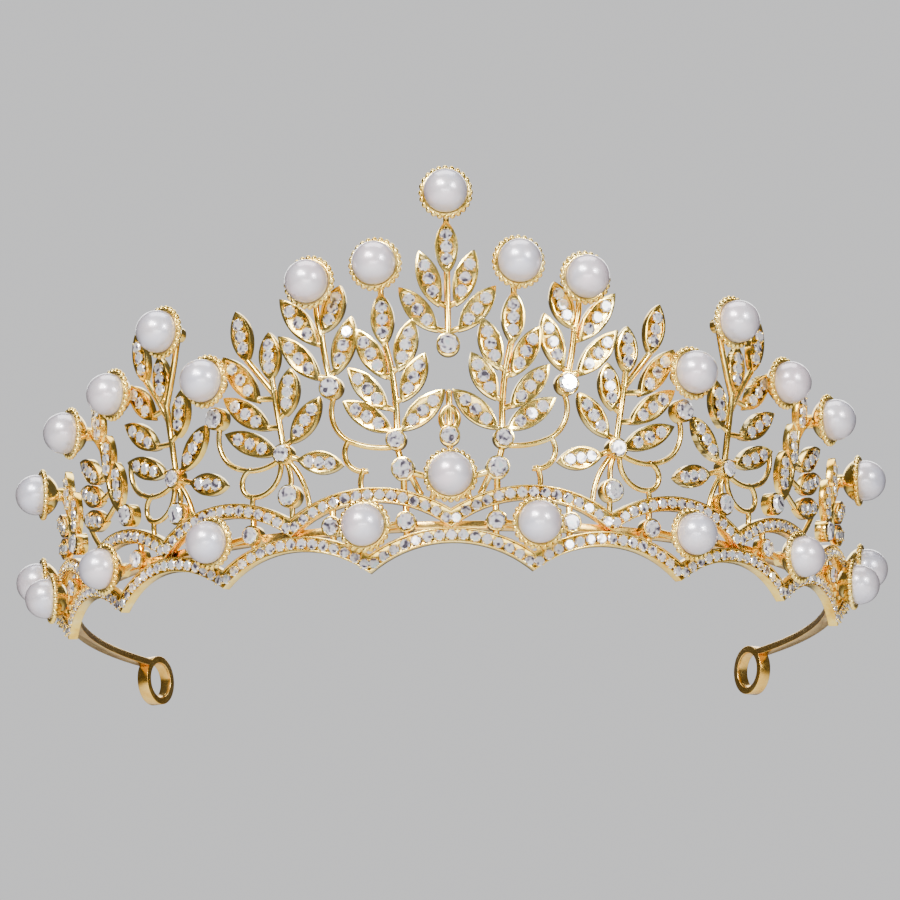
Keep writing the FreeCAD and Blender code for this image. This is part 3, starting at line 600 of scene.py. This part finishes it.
@dataclass
class Stones:
    """Cut stones in the places of the plain ones.

    Attributes:
        shop: the finishes.
        sides: corners of the girdle.
        uneven_setting: largest tilt of a stone in its seat, in radians.
        fullness: size of a stone, over that of its plain one.
        girdle: height of the girdle, over the stone's radius, like the next four.
        girdle_height: its middle.
        pavilion: depth below it.
        crown_rises: heights of the two rows of crown facets.
        crown_shares: how far each row narrows the stone.
        culet: width of the stone's flat bottom, over that of its girdle.
        claws: gold claws round a stone.
        claw_radius: radius of a claw's bead, in metres.
        claw_lift: height of a claw, over the height of its stone.
    """

    shop: Workshop
    sides: int = 8
    uneven_setting: float = math.radians(7)
    fullness: float = 1.06
    girdle: float = 0.1
    girdle_height: float = 0.45
    pavilion: float = 0.36
    crown_rises: tuple[float, float] = (0.26, 0.16)
    crown_shares: tuple[float, float] = (0.78, 0.66)
    culet: float = 0.4
    claws: int = 4
    claw_radius: float = 0.00021
    claw_lift: float = 0.72

    def pattern(self) -> bpy.types.Object:
        """Models one stone of radius 1 about Z: table, two rows of crown facets, pavilion."""
        bpy.ops.object.select_all(action="DESELECT")
        bpy.ops.mesh.primitive_cylinder_add(vertices=self.sides, radius=1.0, depth=self.girdle,
                                            location=(0, 0, self.girdle_height))
        stone = bpy.context.object
        bpy.ops.object.transform_apply(location=True)
        edit_mode(stone)
        half_turn = math.pi / self.sides
        for rise, share, turn in zip(self.crown_rises, self.crown_shares, (half_turn, -half_turn)):
            select_faces(stone, Vector((0, 0, 1)))
            bpy.ops.mesh.extrude_region_move(TRANSFORM_OT_translate={"value": (0, 0, rise)})
            bpy.ops.transform.resize(value=(share, share, 1), center_override=(0, 0, 0))
            bpy.ops.transform.rotate(value=turn, orient_axis="Z", center_override=(0, 0, 0))
        select_faces(stone, Vector((0, 0, -1)))
        bpy.ops.mesh.extrude_region_move(TRANSFORM_OT_translate={"value": (0, 0, -self.pavilion)})
        bpy.ops.transform.resize(value=(self.culet, self.culet, 1), center_override=(0, 0, 0))
        bpy.ops.mesh.select_all(action="SELECT")
        bpy.ops.mesh.quads_convert_to_tris()
        bpy.ops.mesh.normals_make_consistent(inside=False)
        object_mode()
        bpy.ops.object.shade_flat()
        return stone

    def claw_pattern(self) -> bpy.types.Object:
        """Models one claw's bead of radius 1, a little taller than wide."""
        bpy.ops.object.select_all(action="DESELECT")
        bpy.ops.mesh.primitive_ico_sphere_add(subdivisions=1, radius=1.0)
        claw = bpy.context.object
        edit_mode(claw)
        bpy.ops.mesh.select_all(action="SELECT")
        bpy.ops.transform.resize(value=(1.0, 1.0, 1.5), center_override=(0, 0, 0))
        object_mode()
        bpy.ops.object.shade_smooth()
        return claw

    def claw_places(self, seat: Seat) -> list[Matrix]:
        """Places of the claws round one stone.

        Args:
            seat: the stone's place.

        Returns:
            list[Matrix]: one for each claw.
        """
        places = []
        for index in range(self.claws):
            angle = math.tau * (index + 0.5) / self.claws
            spot = Matrix.Translation((seat.radius * math.cos(angle),
                                       seat.radius * math.sin(angle), 0))
            lift = (seat.high - seat.low) * self.claw_lift
            places.append(seat.matrix(1.0, lift) @ spot @ Matrix.Scale(self.claw_radius, 4))
        return places

    def build(self) -> None:
        """Replaces each group of plain stones."""
        master = self.pattern()
        claw = self.claw_pattern()
        turns = np.random.default_rng(7)
        for entry in frame["record"]["subparts"]:
            node = entry["node"]
            if entry["material_slot"] != "crystal":
                continue
            seats = read_seats(node)
            places = []
            for seat in seats:
                spin, tilt, way = turns.uniform(0, 1, 3) * (math.tau, self.uneven_setting, math.tau)
                lean = Matrix.Rotation(tilt, 4, Vector((math.cos(way), math.sin(way), 0)))
                places.append(seat.matrix(seat.radius * self.fullness, 0.0, spin) @ lean)
            piece = copies(master, places, f"cut_{node}")
            dress(piece, self.shop.crystal)
            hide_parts(node)
            claws = copies(claw, [spot for seat in seats for spot in self.claw_places(seat)],
                           f"claws_{node}")
            dress(claws, self.shop.champagne)
            log.info("%s: %d stones", node, len(seats))
        remove(master)
        remove(claw)


@dataclass
class Pearls:
    """The pearls and the bead edges of their cups.

    Attributes:
        shop: the finishes.
        beads: beads round a cup.
        bead_radius: radius of a bead, in metres.
        bead_sink: how far a bead sinks into the rim, over its radius.
        bead_lift: height of the beads, over the height of their cup.
    """

    shop: Workshop
    beads: int = 24
    bead_radius: float = 0.00056
    bead_sink: float = 0.35
    bead_lift: float = 0.76

    def pearl(self, node: str) -> None:
        """Models one pearl, very slightly out of round, over its node."""
        low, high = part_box(node)
        radius = (high.x - low.x) / 2
        bpy.ops.object.select_all(action="DESELECT")
        bpy.ops.mesh.primitive_uv_sphere_add(segments=48, ring_count=24, radius=radius,
                                             location=(low + high) / 2)
        piece = bpy.context.object
        piece.name = f"lustre_{node}"
        bpy.ops.object.transform_apply(location=True)
        edit_mode(piece)
        bpy.ops.mesh.select_all(action="SELECT")
        centre = tuple((low + high) / 2)
        bpy.ops.transform.resize(value=(1.0, 0.995, 0.992), center_override=centre)
        object_mode()
        bpy.ops.object.shade_smooth()
        dress(piece, self.shop.pearl)
        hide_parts(node)

    def bead_pattern(self) -> bpy.types.Object:
        """Models one bead of radius 1."""
        bpy.ops.object.select_all(action="DESELECT")
        bpy.ops.mesh.primitive_uv_sphere_add(segments=8, ring_count=5, radius=1.0)
        bead = bpy.context.object
        edit_mode(bead)
        bpy.ops.mesh.select_all(action="SELECT")
        bpy.ops.transform.resize(value=(1.0, 1.0, 1.15), center_override=(0, 0, 0))
        object_mode()
        bpy.ops.object.shade_smooth()
        return bead

    def build(self) -> None:
        """Makes every pearl and the beads of every cup."""
        for entry in frame["record"]["subparts"]:
            if entry["material_slot"] == "pearl":
                self.pearl(entry["node"])
        master = self.bead_pattern()
        for group in ("crown_pearl_cups", "band_pearl_cups"):
            places = []
            for seat in read_seats(group):
                ring = seat.radius - self.bead_radius * self.bead_sink
                rise = seat.axis * (seat.high - seat.low) * self.bead_lift
                for index in range(self.beads):
                    angle = math.tau * index / self.beads
                    place = Vector((ring * math.cos(angle), ring * math.sin(angle), 0))
                    spot = seat.matrix() @ place + rise
                    places.append(Matrix.Translation(spot) @ Matrix.Scale(self.bead_radius, 4))
            piece = copies(master, places, f"beads_{group}")
            dress(piece, self.shop.champagne)
            log.info("%s: %d beads", group, len(places))
        remove(master)


@dataclass
class Studio:
    """Camera, soft lights, floor and background.

    Attributes:
        distance: camera to its target, in metres.
        target_height: height of the point it looks at, in metres.
        target_depth: place of that point from front to back, in metres.
        pitch: how far it looks up, in degrees.
        roll: tilt of the picture, in degrees.
        lens: focal length on a 36 mm sensor, in millimetres.
        floor_height: height of the floor, in metres.
    """

    distance: float = 0.77035
    target_height: float = 0.04184
    target_depth: float = 0.02408
    pitch: float = 13.08
    roll: float = -1.0
    lens: float = 156.7
    floor_height: float = -0.22

    def camera(self) -> None:
        """Places the camera low in front, looking up at the tiara."""
        data = bpy.data.cameras.new("studio_camera")
        data.lens = self.lens
        data.sensor_width = 36.0
        camera = bpy.data.objects.new("studio_camera", data)
        bpy.context.scene.collection.objects.link(camera)
        pitch = math.radians(self.pitch)
        camera.location = (0.0, self.target_depth - self.distance * math.cos(pitch),
                           self.target_height - self.distance * math.sin(pitch))
        turn = Matrix.Rotation(math.pi / 2 + pitch, 4, "X") @ Matrix.Rotation(
            math.radians(self.roll), 4, "Z")
        camera.rotation_euler = turn.to_euler()
        bpy.context.scene.camera = camera

    def light(self, name: str, place: tuple[float, float, float], size: tuple[float, float],
              power: float, colour: tuple[float, float, float] = (1.0, 1.0, 1.0)) -> None:
        """Adds one soft light that faces the tiara.

        Args:
            name: its name.
            place: its centre.
            size: its width and height.
            power: its power in watts.
            colour: its colour.
        """
        data = bpy.data.lights.new(name, "AREA")
        data.shape = "RECTANGLE"
        data.size, data.size_y = size
        data.energy = power
        data.color = colour
        lamp = bpy.data.objects.new(name, data)
        lamp.location = place
        aim = Vector((0.0, 0.0, self.target_height)) - Vector(place)
        lamp.rotation_euler = aim.to_track_quat("-Z", "Y").to_euler()
        bpy.context.scene.collection.objects.link(lamp)

    def floor(self) -> None:
        """Lays the pale floor."""
        bpy.ops.object.select_all(action="DESELECT")
        bpy.ops.mesh.primitive_plane_add(size=6.0, location=(0, 0, self.floor_height))
        floor = bpy.context.object
        floor.name = "studio_floor"
        floor.data.materials.append(StudioPaint().build())

    def world(self) -> None:
        """Pale background, with a darker room for the metal to mirror."""
        world = bpy.data.worlds.new("studio_world")
        world.use_nodes = True
        bpy.context.scene.world = world
        tree = world.node_tree
        tree.nodes.clear()
        output = tree.nodes.new("ShaderNodeOutputWorld")
        mix = tree.nodes.new("ShaderNodeMixShader")
        path = tree.nodes.new("ShaderNodeLightPath")
        room = tree.nodes.new("ShaderNodeBackground")
        room.inputs["Color"].default_value = (0.36, 0.34, 0.33, 1)
        room.inputs["Strength"].default_value = 0.3
        backdrop = tree.nodes.new("ShaderNodeBackground")
        backdrop.inputs["Color"].default_value = (0.80, 0.80, 0.81, 1)
        tree.links.new(path.outputs["Is Camera Ray"], mix.inputs["Fac"])
        tree.links.new(room.outputs[0], mix.inputs[1])
        tree.links.new(backdrop.outputs[0], mix.inputs[2])
        tree.links.new(mix.outputs[0], output.inputs["Surface"])

    def build(self) -> None:
        """Sets up the whole studio."""
        self.camera()
        self.light("key_window", (-0.45, -0.75, 0.55), (0.3, 0.4), 12.0, (1.0, 0.98, 0.96))
        self.light("key_lamp", (-0.16, -0.62, 0.34), (0.06, 0.06), 3.0)
        self.light("side_lamp", (0.34, -0.5, 0.2), (0.04, 0.04), 1.4)
        self.light("fill_window", (0.6, -0.7, 0.3), (0.3, 0.4), 3.6, (0.96, 0.98, 1.0))
        self.light("low_strip", (0.0, -0.8, -0.12), (0.6, 0.12), 1.6)
        self.light("top_panel", (0.0, 0.05, 0.8), (0.7, 0.5), 6.0)
        self.light("back_panel", (0.0, 0.7, 0.45), (0.8, 0.4), 4.5)
        self.floor()
        self.world()


def main() -> None:
    """Builds the studio and every sub-assembly."""
    shop = Workshop()
    Studio().build()
    Metalwork(shop).build()
    Stones(shop).build()
    Pearls(shop).build()
    bpy.context.view_layer.update()


if __name__ == "__main__":
    main()
